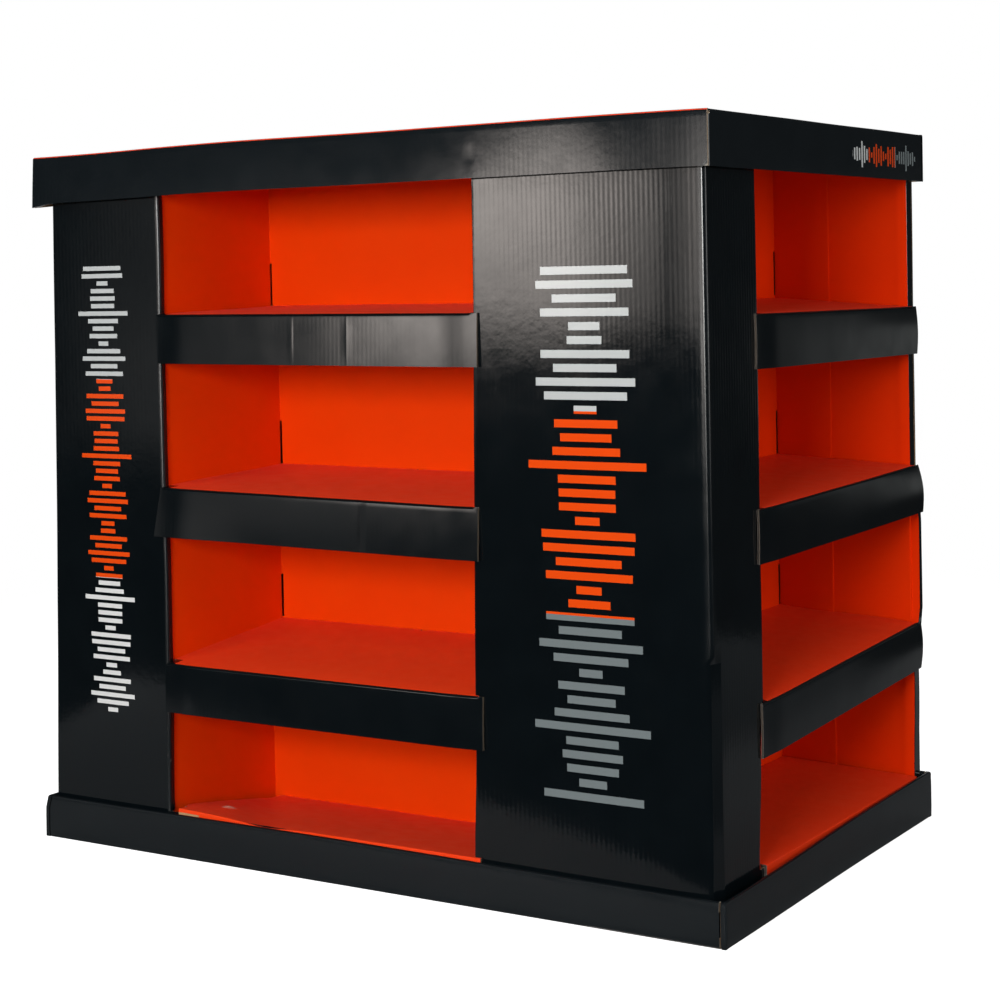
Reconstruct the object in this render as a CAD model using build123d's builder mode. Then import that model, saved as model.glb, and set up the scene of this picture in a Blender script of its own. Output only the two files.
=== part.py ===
"""Half-pallet display stand of folded corrugated board.

A base tray carries a printed sleeve with one tall window in its front and one in its right
side. Behind each window stands a coloured bay with three lipped shelves and a floor, and a
lift-off cap closes the top. Millimetres, +Z up, origin under the middle of the tray.
"""

import os
from math import hypot

from build123d import *

os.makedirs("parts", exist_ok=True)

# Board and folds
board = 3.0  # thickness of the B-flute sheet
fold_inside = 0.3  # radius on the inner side of a fold
hem_flat = 0.4  # flat on top of a rolled-over wall
seam = 1.0  # open seam between two panels at a corner
overrun = 5.0  # how far a cut or a joined strip passes the face it meets

# Sleeve panels, along the front from left to right
front_left_panel = 197.0
front_window = 484.0
front_right_panel = 309.0

# Sleeve panels, along the right side from near to far
near_post = 125.0
side_window = 484.0
far_strip = 19.0

# Heights
stand_height = 929.0
tray_wall = 57.0
cap_skirt = 63.0
header = 52.0  # strip of sleeve above each window, behind the cap's skirt
top_shelf_share = 0.7457  # front edge's place between the tray's rim and the cap's underside
middle_shelf_share = 0.4856
bottom_shelf_share = 0.2255

# Clearances and overhangs
floor_clearance = 0.5  # each side of a floor's lip where it tucks behind the tray wall
tray_play_side = 6.0  # between the sleeve and the tray's end walls
cap_overhang_front = 15.0
cap_overhang_side = 11.0

# Sleeve details
window_return = 14.0  # strip folded in at a window's upright edge
sleeve_flap = 40.0  # glue flap between the two sleeve sheets

# Bays
front_bay_depth = 244.0
side_bay_depth = 196.0
liner_flange = 30.0  # glue flange behind the sleeve
far_seam = 115.0  # from the sleeve's face to the edge of the liner's flap on the far wall
far_wall_lap = 60.0  # how far the far wall runs on under that flap
slit_width = 7.0
slit_height = 60.0
slit_lift = 2.0  # from a shelf's back edge up to its slits

# Shelves
lip_height = 64.0
lip_gap = 3.0  # between the sleeve and the lip's fold
lip_overlap = 5.0  # how far a lip passes each edge of its window
neck_clearance = 1.0  # each side of a shelf between the window's returns
shelf_flange = 30.0
notch_radius = 6.0  # finger notch in a shelf's back edge
top_shelf_rise = 10.0  # back edge above front edge
middle_shelf_rise = 14.0
bottom_shelf_rise = 24.0
top_lip_splay = 5.0  # foot of the lip ahead of its fold
middle_lip_splay = 7.0
bottom_lip_splay = 3.0

# Floors
floor_lip = 20.0
front_floor_drop = 35.0  # front edge above back edge
side_floor_drop = -8.0

# Cap
cap_tab = 50.0  # glue tab behind the front and back skirts

# Sizes that follow from the values above
fold_radius = board + fold_inside
hem = 2 * fold_radius + hem_flat
sleeve_x = (front_left_panel + front_window + front_right_panel) / 2
sleeve_y = (near_post + side_window + far_strip) / 2
tray_x = sleeve_x + tray_play_side + hem
tray_y = sleeve_y + board + 2 * floor_clearance + hem
cap_x = sleeve_x + cap_overhang_side
cap_y = sleeve_y + cap_overhang_front
cap_underside = stand_height - board
window_top = cap_underside - header
front_left_edge = -sleeve_x + front_left_panel
front_right_edge = sleeve_x - front_right_panel
side_near_edge = -sleeve_y + near_post
side_far_edge = sleeve_y - far_strip
neck_end = window_return + neck_clearance
clear_height = cap_underside - tray_wall
top_level = tray_wall + top_shelf_share * clear_height
middle_level = tray_wall + middle_shelf_share * clear_height
bottom_level = tray_wall + bottom_shelf_share * clear_height
tiers = (
    ("top", top_level, top_shelf_rise, top_lip_splay),
    ("middle", middle_level, middle_shelf_rise, middle_lip_splay),
    ("bottom", bottom_level, bottom_shelf_rise, bottom_lip_splay),
)


class Bay:
    """A bay's size and place: X runs along its window, Y into the bay, Z up from the ground."""

    def __init__(self, middle, x_dir, window, depth, right_wall):
        self.plan = Plane(origin=middle, x_dir=x_dir, z_dir=(0, 0, 1))
        self.section = Plane(origin=middle, x_dir=self.plan.y_dir, z_dir=x_dir)
        self.window = window
        self.depth = depth
        self.left_wall = -window / 2 - board
        self.right_wall = right_wall


front_bay = Bay(
    middle=((front_left_edge + front_right_edge) / 2, -sleeve_y, 0),
    x_dir=(1, 0, 0),
    window=front_window,
    depth=front_bay_depth,
    right_wall=front_window / 2 + board,
)
# The liner's flap narrows the side bay by one board on its far side
side_bay = Bay(
    middle=(sleeve_x, (side_near_edge + side_far_edge) / 2, 0),
    x_dir=(0, 1, 0),
    window=side_window,
    depth=side_bay_depth,
    right_wall=side_window / 2,
)


def folded(plane, side, *corners):
    """Section of a sheet whose printed face runs through these corners, the board on one side."""
    hand = 1 if side == Side.LEFT else -1
    face = [Vector(*corner) for corner in corners]
    ways = [(end - start).normalized() for start, end in zip(face, face[1:])]
    inward = [Vector(0, 0, hand).cross(way) for way in ways]
    pairs = zip(face, inward[:1] + inward, inward + inward[-1:])
    back = [point + (one + two) * (board / (1 + one.dot(two))) for point, one, two in pairs]
    outer, inner = [], []
    for number in range(1, len(ways)):
        printed_outside = ways[number].dot(inward[number - 1]) > 0
        outer.append(face[number] if printed_outside else back[number])
        inner.append(back[number] if printed_outside else face[number])
    with BuildSketch(plane) as section:
        with BuildLine():
            Polyline(*face, *reversed(back), close=True)
        make_face()
        for points, radius in ((outer, fold_radius), (inner, fold_inside)):
            fillet([section.vertices().sort_by_distance(point)[0] for point in points], radius)
    return section.sketch


def sheet_plan(bay, height, front, clearance):
    """Plan of a sheet in a bay: a neck between the window's returns, then the bay's full width."""
    neck = bay.window - 2 * neck_clearance
    left = bay.left_wall + clearance
    right = bay.right_wall - clearance
    with BuildSketch(bay.plan.offset(height)) as plan:
        with Locations((0, front)):
            Rectangle(neck, bay.depth - front, align=(Align.CENTER, Align.MIN))
        with Locations((left, neck_end)):
            Rectangle(right - left, bay.depth - neck_end, align=(Align.MIN, Align.MIN))
    return plan.sketch


def slits(bay):
    """Plans of the upright slits in a bay's two back corners, at the foot of each slit."""
    plans = []
    for _, level, rise, _ in tiers:
        with BuildSketch(bay.plan.offset(level + rise + slit_lift)) as pair:
            for end in (bay.left_wall + slit_width / 2, bay.right_wall - slit_width / 2):
                with Locations((end, bay.depth)):
                    Rectangle(slit_width, 2 * (board + overrun))
        plans.append(pair.sketch)
    return plans


def make_shelf(bay, level, rise, splay):
    """Panel that falls to the front, with a lip over the window's edges and three flanges below."""
    fold_y = -lip_gap - board
    slope = rise / (bay.depth - fold_y)
    foot = level - lip_height - overrun
    reach = lip_height + rise + 2 * overrun
    lip = bay.window / 2 + lip_overlap
    middle = board / 2
    flange_front = level + slope * (neck_end - fold_y)
    flange_back = level + rise - slope * middle
    with BuildPart() as shelf:
        # Everything that the folded sheet is trimmed to, seen from above
        extrude(sheet_plan(bay, foot, -lip_gap, fold_inside), amount=reach)
        with BuildSketch(bay.plan.offset(foot)):
            with Locations((0, -lip_gap)):
                Rectangle(2 * lip, board + splay + overrun, align=(Align.CENTER, Align.MAX))
        extrude(amount=reach)
        sheet = folded(
            bay.section,
            Side.RIGHT,
            (fold_y - splay, level - lip_height),
            (fold_y, level),
            (bay.depth, level + rise),
            (bay.depth, level + rise - shelf_flange),
        )
        extrude(sheet, amount=lip, both=True, mode=Mode.INTERSECT)
        # Side flanges along the liner's walls
        for wall in (bay.left_wall + fold_inside, bay.right_wall - fold_inside - board):
            with BuildSketch(bay.section.offset(wall)):
                with BuildLine():
                    Polyline(
                        (neck_end, flange_front - middle),
                        (bay.depth - middle, flange_back - middle),
                        (bay.depth - middle, flange_back - shelf_flange),
                        (neck_end, flange_front - shelf_flange),
                        close=True,
                    )
                make_face()
            extrude(amount=board)
        with BuildSketch(bay.plan.offset(level + rise - board - overrun)):
            with Locations((0, bay.depth)):
                Circle(notch_radius)
        extrude(amount=board + 2 * overrun, mode=Mode.SUBTRACT)
    return shelf.part


def make_floor(bay, drop):
    """Sheet that rests on the sleeve's sill and on its own back leg, its lip behind the tray wall."""
    fold_y = -floor_clearance - board
    slope = -drop / (bay.depth - fold_y)
    seat_y = board if drop > 0 else 0
    level = tray_wall + board * hypot(1, slope) - slope * (seat_y - fold_y)
    with BuildPart() as floor:
        extrude(sheet_plan(bay, 0, fold_y - overrun, neck_clearance), amount=level + abs(drop) + overrun)
        sheet = folded(
            bay.section,
            Side.RIGHT,
            (fold_y, level - floor_lip),
            (fold_y, level),
            (bay.depth, level - drop),
            (bay.depth, board),
        )
        extrude(sheet, amount=bay.window, both=True, mode=Mode.INTERSECT)
    return floor.part


def save(part, name):
    """Name a finished piece and write it."""
    part.label = name
    export_step(part, f"parts/{name}.step")


# Base tray: bottom and end walls in one section, then the long walls that close the corners
end_wall_y = tray_y - hem - seam
hem_foot = hem - board
with BuildPart() as base_tray:
    across = folded(
        Plane.XZ,
        Side.LEFT,
        (-tray_x + hem, hem_foot),
        (-tray_x + hem, tray_wall),
        (-tray_x, tray_wall),
        (-tray_x, 0),
        (tray_x, 0),
        (tray_x, tray_wall),
        (tray_x - hem, tray_wall),
        (tray_x - hem, hem_foot),
    )
    extrude(across, amount=end_wall_y, both=True)
    front_wall = folded(
        Plane.YZ,
        Side.LEFT,
        (-tray_y + hem, hem_foot),
        (-tray_y + hem, tray_wall),
        (-tray_y, tray_wall),
        (-tray_y, 0),
        (-end_wall_y + overrun, 0),
    )
    long_wall = extrude(front_wall, amount=tray_x, both=True)
    mirror(long_wall, about=Plane.XZ)
save(base_tray.part, "base_tray")

# Sleeve, front sheet: whole bands behind tray and cap, and between them strips with returns
near_corner = (sleeve_x, -sleeve_y)
flap_y = sleeve_y - board
far_corner = ((sleeve_x, flap_y), (sleeve_x - sleeve_flap, flap_y))
return_x = sleeve_x - window_return
return_y = -sleeve_y + window_return
sleeve_strips = (
    ((-sleeve_x, -sleeve_y), (front_left_edge, -sleeve_y), (front_left_edge, return_y)),
    (
        (front_right_edge, return_y),
        (front_right_edge, -sleeve_y),
        near_corner,
        (sleeve_x, side_near_edge),
        (return_x, side_near_edge),
    ),
    ((return_x, side_far_edge), (sleeve_x, side_far_edge), *far_corner),
)
with BuildPart() as sleeve_front:
    for foot, top in ((board, tray_wall), (window_top, cap_underside)):
        band = folded(Plane.XY.offset(foot), Side.LEFT, (-sleeve_x, -sleeve_y), near_corner, *far_corner)
        extrude(band, amount=top - foot)
    for corners in sleeve_strips:
        strip = folded(Plane.XY.offset(tray_wall), Side.LEFT, *corners)
        extrude(strip, amount=window_top - tray_wall)
save(sleeve_front.part, "sleeve_front")

# Sleeve, rear sheet: a flap behind the front panel, the left side and the back
with BuildPart() as sleeve_rear:
    wrap = folded(
        Plane.XY.offset(board),
        Side.RIGHT,
        (-sleeve_x + sleeve_flap, -sleeve_y + board),
        (-sleeve_x, -sleeve_y + board),
        (-sleeve_x, sleeve_y),
        (sleeve_x, sleeve_y),
    )
    extrude(wrap, amount=cap_underside - board)
save(sleeve_rear.part, "sleeve_rear")

# Front liner: glue flange, wall, back, wall, glue flange
with BuildPart() as front_bay_liner:
    walls = folded(
        front_bay.plan.offset(board),
        Side.LEFT,
        (front_bay.left_wall - liner_flange, board),
        (front_bay.left_wall, board),
        (front_bay.left_wall, front_bay.depth),
        (front_bay.right_wall, front_bay.depth),
        (front_bay.right_wall, board),
        (front_bay.right_wall + liner_flange, board),
    )
    extrude(walls, amount=cap_underside - board)
    for slit_plan in slits(front_bay):
        extrude(slit_plan, amount=slit_height, mode=Mode.SUBTRACT)
save(front_bay_liner.part, "front_bay_liner")

# Side liner: glue flange, near wall, back, and a flap on the far wall
with BuildPart() as side_bay_liner:
    walls = folded(
        side_bay.plan.offset(board),
        Side.LEFT,
        (side_bay.left_wall - liner_flange, board),
        (side_bay.left_wall, board),
        (side_bay.left_wall, side_bay.depth),
        (side_bay.right_wall, side_bay.depth),
        (side_bay.right_wall, far_seam),
    )
    extrude(walls, amount=cap_underside - board)
    for slit_plan in slits(side_bay):
        extrude(slit_plan, amount=slit_height, mode=Mode.SUBTRACT)
save(side_bay_liner.part, "side_bay_liner")

# Far wall of the side bay, from under the liner's flap to a flange behind the sleeve's far strip
far_wall_x = side_bay.right_wall + board
far_flange = far_strip - 3 * board - seam
with BuildPart() as side_bay_far_wall:
    wall = folded(
        side_bay.plan.offset(board),
        Side.LEFT,
        (far_wall_x, far_seam + far_wall_lap),
        (far_wall_x, board),
        (far_wall_x + far_flange, board),
    )
    extrude(wall, amount=cap_underside - board)
save(side_bay_far_wall.part, "side_bay_far_wall")

# Shelves and floors
bays = (("front", front_bay, front_floor_drop), ("side", side_bay, side_floor_drop))
for bay_name, bay, floor_drop in bays:
    for tier, level, rise, splay in tiers:
        save(make_shelf(bay, level, rise, splay), f"{bay_name}_shelf_{tier}")
    save(make_floor(bay, floor_drop), f"{bay_name}_bay_floor")

# Cap: top and end skirts in one section, the long skirts, and the ends' glue tabs behind them
skirt_foot = stand_height - cap_skirt
end_skirt_y = cap_y - board - fold_radius
tab_y = cap_y - board
with BuildPart() as top_cap:
    across = folded(
        Plane.XZ,
        Side.RIGHT,
        (-cap_x, skirt_foot),
        (-cap_x, stand_height),
        (cap_x, stand_height),
        (cap_x, skirt_foot),
    )
    extrude(across, amount=end_skirt_y, both=True)
    front_skirt = folded(
        Plane.YZ,
        Side.RIGHT,
        (-cap_y, skirt_foot),
        (-cap_y, stand_height),
        (-end_skirt_y + overrun, stand_height),
    )
    long_skirt = extrude(front_skirt, amount=cap_x, both=True)
    mirror(long_skirt, about=Plane.XZ)
    end_skirt = folded(
        Plane.XY.offset(skirt_foot),
        Side.LEFT,
        (cap_x - cap_tab, -tab_y),
        (cap_x, -tab_y),
        (cap_x, tab_y),
        (cap_x - cap_tab, tab_y),
    )
    end_tabs = extrude(end_skirt, amount=cap_skirt - board)
    mirror(end_tabs, about=Plane.YZ)
save(top_cap.part, "top_cap")
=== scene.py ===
"""Looks of the half-pallet cardboard display stand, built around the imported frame.

Lengths are in millimetres and turn to metres when a piece is finished. +Z is up, the front window
faces -Y and the side window faces +X.
"""

import math

import bmesh
import bpy
from mathutils import Matrix, Vector, noise


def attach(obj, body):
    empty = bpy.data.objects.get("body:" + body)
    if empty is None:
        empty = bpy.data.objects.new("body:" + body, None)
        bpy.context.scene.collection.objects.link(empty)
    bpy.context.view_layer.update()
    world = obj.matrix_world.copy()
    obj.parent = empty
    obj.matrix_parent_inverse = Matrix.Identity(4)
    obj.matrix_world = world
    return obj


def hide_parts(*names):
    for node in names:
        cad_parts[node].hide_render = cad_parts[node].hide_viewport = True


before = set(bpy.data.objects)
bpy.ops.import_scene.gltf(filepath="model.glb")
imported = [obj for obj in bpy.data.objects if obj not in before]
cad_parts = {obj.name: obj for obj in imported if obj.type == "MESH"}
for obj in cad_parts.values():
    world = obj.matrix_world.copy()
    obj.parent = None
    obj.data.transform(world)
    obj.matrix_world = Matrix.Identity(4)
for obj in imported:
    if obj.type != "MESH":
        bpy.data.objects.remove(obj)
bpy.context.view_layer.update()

# Board and folds
MM = 0.001
BOARD = 3.0
FLUTE = 6.4  # from one crest of the corrugation to the next
FOLD, WALL_FOLD = 3.3, 0.8  # outer radius of a fold, and of a bay wall's
CELL, FINE = 24.0, 9.0  # largest side of a mesh face on a panel, and where it curves
MARGIN = 6.0  # from a fold to the nearest cut beside it

# Sleeve and its windows
SLEEVE_X, SLEEVE_Y = 495.0, 314.0
SHEET_FOOT, SHEET_TOP = 3.0, 926.0
WINDOW_FOOT, WINDOW_TOP = 57.0, 874.0
FRONT_LEFT, FRONT_RIGHT = -298.0, 186.0
SIDE_NEAR, SIDE_FAR = -189.0, 295.0
RETURN, LEFT_RETURN = 14.0, 9.0  # strip folded in at a window's upright edge, and at the left one
LEFT_FOLD = 4.0  # radius of the fold at the front window's left edge
GLUE_FLAP = 40.0
NEAR_CUT, NEAR_FOLD = 3.2, 1.5  # flat across the near corner, and the radius of its two folds
FACET, FACET_TOP, FACET_RUN, CRUSH = 22.0, 324.0, 10.0, 6.0  # where the near corner is pressed in
BEND, BEND_DEPTH = 65.0, 3.0  # stretch that curves back at the near corner, and how far

# Tray and cap
TRAY_X, TRAY_Y, TRAY_WALL, HEM = 508.0, 325.0, 57.0, 7.0
CAP_X, CAP_Y, CAP_TOP, CAP_FOOT = 506.0, 329.0, 929.0, 866.0
CAP_TAB, CAP_SEAM = 50.0, 6.0  # glue tab behind a long skirt, and the gap above it

# Bays, each drawn with X along its window, Y into the bay and its own walls
WINDOW = 484.0
HALF = WINDOW / 2 - 1  # half the length of a lip or floor between the window's returns
NECK = RETURN + 1  # depth at which a shelf or floor widens behind the returns
FRONT_BAY = Matrix.Translation(((FRONT_LEFT + FRONT_RIGHT) / 2, -SLEEVE_Y, 0))
SIDE_TURN = Matrix.Rotation(math.pi / 2, 4, "Z")
SIDE_BAY = Matrix.Translation((SLEEVE_X, (SIDE_NEAR + SIDE_FAR) / 2, 0)) @ SIDE_TURN
FRONT_DEPTH, SIDE_DEPTH = 244.0, 196.0
LEFT_WALL, FRONT_RIGHT_WALL, SIDE_RIGHT_WALL = -245.0, 245.0, 242.0
FLANGE, FAR_FLANGE = 30.0, 9.0
FAR_SEAM, FAR_LAP = 115.0, 60.0
SLIT_WIDTH, SLIT_HEIGHT, SLIT_LIFT = 2.6, 60.0, 2.0

# Shelves: level of the front fold and rise to the back
LEVELS = {"top": 705.0, "middle": 479.0, "bottom": 253.0}
RISES = {"top": 10.0, "middle": 14.0, "bottom": 24.0}
LIP, LIP_OUT, SHELF_GAP = 64.0, 6.0, 0.3  # lip's drop and stand-off, and the gap at the bay's walls
LIP_INK = 1.6  # how far the black print runs over the lip's fold
NOTCH = 5.0  # half the width of the finger notch in a shelf's back edge
LIP_TWIST = 150.0  # stretch of a front lip over which its lean changes
BACK_LIFT = 0.35  # share of the front edge's lift that the back edge has

# Floors: level of the front fold and of the back edge, then the lip's drop and stand-off
FRONT_FLOOR, SIDE_FLOOR = (58.9, 25.4), (59.9, 67.9)
FLOOR_LIP, FLOOR_OUT = 20.0, 3.5
FLOOR_GAP, FLOOR_FOLD, FLOOR_CELL = 1.0, 1.6, 16.0

# Folds, by their least angle in radians, and how far the print on them has cracked
SQUARE, MITRE, FOLDED, BENT, SLIGHT = 1.2, 0.6, 0.5, 0.2, 0.1
WORN, RUBBED = 0.2, 0.12
SNUG = 0.01  # places this close are the same
LOW, HIGH = (-9e3,) * 3, (9e3,) * 3  # a box round everything


# Materials

# The second black pair is a paler copy of the first: painted light that brightens the cap, rear
# walls and tray.
BLACK, PAINTED_LIGHT_BLACK, ORANGE = ("#05090c", "#0a1013"), ("#0d1215", "#14191c"), ("#e63c03", "#ec4305")
VARNISH_IOR = 1.45
CRACK_START, CRACK_END, CRACK_MOST = 0.86, 1.3, 0.6  # wear at which flecks show, and their strength


def linear(code):
    """Turns an sRGB hex colour to linear RGBA."""
    parts = [int(code[place : place + 2], 16) / 255 for place in (1, 3, 5)]
    return (*[p / 12.92 if p <= 0.04045 else ((p + 0.055) / 1.055) ** 2.4 for p in parts], 1.0)


def add(tree, kind, inputs=(), **settings):
    """Adds one shader node: settings by name, and each input's value or a socket to feed it."""
    node = tree.nodes.new("ShaderNode" + kind)
    for name, value in settings.items():
        setattr(node, name, value)
    for key, value in dict(inputs).items():
        if isinstance(value, bpy.types.NodeSocket):
            tree.links.new(value, node.inputs[key])
        else:
            node.inputs[key].default_value = value
    return node


def new_material(name):
    """An empty material, its node tree, its shader and its position in metres."""
    material = bpy.data.materials.new(name)
    material.use_nodes = True
    tree = material.node_tree
    tree.nodes.clear()
    shader = add(tree, "BsdfPrincipled")
    add(tree, "OutputMaterial", {"Surface": shader.outputs[0]})
    place = add(tree, "TexCoord").outputs["Object"]
    return material, tree, shader, place


def washboard(tree, place, across, depth, ripple, fibre, calm=1.0):
    """Surface of printed board: flutes that show in places, calmer at the left, ripples and grain.

    Paper grain is finer than the render shows, so it is drawn as coarse as 1.4 mm.
    """
    waves = Vector(across) * (2 * math.pi / (FLUTE * MM))
    phase = add(tree, "VectorMath", {0: place, 1: waves}, operation="DOT_PRODUCT").outputs["Value"]
    ridge = add(tree, "Math", {0: phase}, operation="SINE").outputs[0]
    patch = add(tree, "TexNoise", {"Vector": place, "Scale": 1 / (90 * MM), "Detail": 2.0})
    shown = add(tree, "MapRange", {0: patch.outputs[0], 1: 0.35, 2: 0.65, 3: 0.15, 4: 1.0})
    flutes = add(tree, "Math", {0: ridge, 1: shown.outputs[0]}, operation="MULTIPLY").outputs[0]
    if calm < 1:
        along = add(tree, "SeparateXYZ", {0: place}).outputs["X"]
        left, right = FRONT_LEFT * MM, FRONT_RIGHT * MM
        share = add(tree, "MapRange", {0: along, 1: left, 2: right, 3: calm, 4: 1.0}).outputs[0]
        flutes = add(tree, "Math", {0: flutes, 1: share}, operation="MULTIPLY").outputs[0]
    board = add(tree, "Bump", {"Height": flutes, "Distance": depth * MM, "Strength": 1.0})
    swell = add(tree, "TexNoise", {"Vector": place, "Scale": 1 / (10 * MM), "Detail": 2.0})
    ripples = {"Height": swell.outputs[0], "Distance": ripple * MM, "Normal": board.outputs[0]}
    waved = add(tree, "Bump", {"Strength": 1.0, **ripples})
    grain = add(tree, "TexNoise", {"Vector": place, "Scale": 1 / (1.4 * MM), "Detail": 3.0})
    fibres = {"Height": grain.outputs[0], "Distance": fibre * MM, "Normal": waved.outputs[0]}
    return add(tree, "Bump", {"Strength": 1.0, **fibres}).outputs[0]


def worn(tree, place, colour, pale):
    """Print that has cracked along folds: the piece's wear shows the pale paper in flecks."""
    amount = add(tree, "Attribute", attribute_name="wear").outputs["Fac"]
    flecks = add(tree, "TexNoise", {"Vector": place, "Scale": 1 / (9 * MM), "Detail": 8.0})
    both = add(tree, "Math", {0: amount, 1: flecks.outputs[0]}, operation="ADD").outputs[0]
    limits = {1: CRACK_START, 2: CRACK_END, 4: CRACK_MOST}
    cracked = add(tree, "MapRange", {0: both, **limits}).outputs[0]
    mix = add(tree, "Mix", {"Factor": cracked, "A": colour, "B": pale}, data_type="RGBA")
    return mix.outputs["Result"]


def black_print(name, across, flutes, ripple, matt, art=None, inks=BLACK, calm=1.0):
    """Gloss-varnished black litho print on B-flute: cool near-black, sharp but streaky gloss."""
    material, tree, shader, place = new_material(name)
    tone = add(tree, "TexNoise", {"Vector": place, "Scale": 1 / (50 * MM), "Detail": 4.0})
    tints = {"Factor": tone.outputs[0], "A": linear(inks[0]), "B": linear(inks[1])}
    base = add(tree, "Mix", tints, data_type="RGBA").outputs["Result"]
    if art:
        base = art(tree, place, base)
    base = worn(tree, place, base, linear("#b9b2a6"))
    gloss = add(tree, "TexNoise", {"Vector": place, "Scale": 1 / (30 * MM), "Detail": 5.0})
    rough = add(tree, "MapRange", {0: gloss.outputs[0], 1: 0.25, 2: 0.75, 3: matt, 4: matt + 0.06})
    scuffed = add(tree, "Attribute", attribute_name="wear").outputs["Fac"]
    dulled = add(tree, "Math", {0: rough.outputs[0], 1: scuffed}, operation="ADD", use_clamp=True)
    tree.links.new(base, shader.inputs["Base Color"])
    tree.links.new(dulled.outputs[0], shader.inputs["Roughness"])
    relief = washboard(tree, place, across, flutes, ripple, 0.003, calm)
    tree.links.new(relief, shader.inputs["Normal"])
    shader.inputs["IOR"].default_value = VARNISH_IOR
    return material


def orange_print(name, across, dust_and_sheen, varnish, fuzz, inks=ORANGE):
    """Orange litho print under a satin varnish: saturated, with faint flutes, scuffs, and pale dust
    that is partly a painted sheen.
    """
    material, tree, shader, place = new_material(name)
    tone = add(tree, "TexNoise", {"Vector": place, "Scale": 1 / (70 * MM), "Detail": 5.0})
    tints = {"Factor": tone.outputs[0], "A": linear(inks[0]), "B": linear(inks[1])}
    ink = add(tree, "Mix", tints, data_type="RGBA").outputs["Result"]
    patches = {"Vector": place, "Scale": 1 / (45 * MM), "Detail": 7.0, "Roughness": 0.6}
    drift = add(tree, "TexNoise", patches).outputs[0]
    dust_and_sheen_share = add(tree, "MapRange", {0: drift, 1: 0.35, 2: 0.7, 3: 0.35 * dust_and_sheen, 4: dust_and_sheen}).outputs[0]
    # Pale pink mixed in by patches: dust, and in part a painted sheen on the shelf tops.
    dust_and_sheen_tints = {"Factor": dust_and_sheen_share, "A": ink, "B": linear("#d9a183")}
    base = add(tree, "Mix", dust_and_sheen_tints, data_type="RGBA").outputs["Result"]
    base = worn(tree, place, base, linear("#e8d9c4"))
    scuff = add(tree, "TexNoise", {"Vector": place, "Scale": 1 / (20 * MM), "Detail": 6.0})
    rough = add(tree, "MapRange", {0: scuff.outputs[0], 1: 0.3, 2: 0.7, 3: 0.4, 4: 0.52})
    tree.links.new(base, shader.inputs["Base Color"])
    tree.links.new(rough.outputs[0], shader.inputs["Roughness"])
    tree.links.new(washboard(tree, place, across, 0.02, 0.02, 0.004), shader.inputs["Normal"])
    shader.inputs["IOR"].default_value = VARNISH_IOR
    shader.inputs["Specular IOR Level"].default_value = varnish
    shader.inputs["Sheen Weight"].default_value = fuzz
    shader.inputs["Sheen Roughness"].default_value = 0.5
    return material


def kraft_liner(name):
    """Unprinted back of the board: matt brown kraft paper with darker fibres."""
    material, tree, shader, place = new_material(name)
    fibre = add(tree, "TexNoise", {"Vector": place, "Scale": 1 / (2.5 * MM), "Detail": 6.0})
    cloud = add(tree, "TexNoise", {"Vector": place, "Scale": 1 / (60 * MM), "Detail": 3.0})
    share = add(tree, "Math", {0: fibre.outputs[0], 1: cloud.outputs[0]}, operation="MULTIPLY")
    tints = {"Factor": share.outputs[0], "A": linear("#bd9468"), "B": linear("#9a7145")}
    base = add(tree, "Mix", tints, data_type="RGBA").outputs["Result"]
    grain = add(tree, "Bump", {"Height": fibre.outputs[0], "Distance": 0.03 * MM, "Strength": 1.0})
    tree.links.new(base, shader.inputs["Base Color"])
    tree.links.new(grain.outputs[0], shader.inputs["Normal"])
    shader.inputs["Roughness"].default_value = 0.85
    return material


# Shares of the board's depth: the fluted paper's swing and half width, and half of what lies inside
WEAVE, MEDIUM, INSIDE = 0.34, 0.14, 0.36


def raw_edge(name, across, liner, hollow, medium):
    """Cut edge of the board: two pale liners with the brown fluted paper weaving between them."""
    material, tree, shader, place = new_material(name)
    waves = Vector(across) * (2 * math.pi / (FLUTE * MM))
    phase = add(tree, "VectorMath", {0: place, 1: waves}, operation="DOT_PRODUCT").outputs["Value"]
    weave = add(tree, "Math", {0: phase}, operation="SINE").outputs[0]
    middle = add(tree, "Math", {0: weave, 1: WEAVE, 2: 0.5}, operation="MULTIPLY_ADD").outputs[0]
    depth = add(tree, "Attribute", attribute_name="board_depth").outputs["Fac"]
    woven = add(tree, "Math", {0: depth, 1: middle, 2: MEDIUM}, operation="COMPARE").outputs[0]
    inner = add(tree, "Math", {0: depth, 1: 0.5, 2: INSIDE}, operation="COMPARE").outputs[0]
    flutes = {"Factor": woven, "A": linear(hollow), "B": linear(medium)}
    paper = add(tree, "Mix", flutes, data_type="RGBA").outputs["Result"]
    layers = {"Factor": inner, "A": linear(liner), "B": paper}
    base = add(tree, "Mix", layers, data_type="RGBA").outputs["Result"]
    tree.links.new(base, shader.inputs["Base Color"])
    shader.inputs["Roughness"].default_value = 0.9
    return material


# Rows in the bars' slow and fast swell, the shortest bar's share of the longest, a bar's of its row
SLOW_SWELL, FAST_SWELL, SHORTEST, BAR = 6.3, 2.7, 0.12, 0.58


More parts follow.
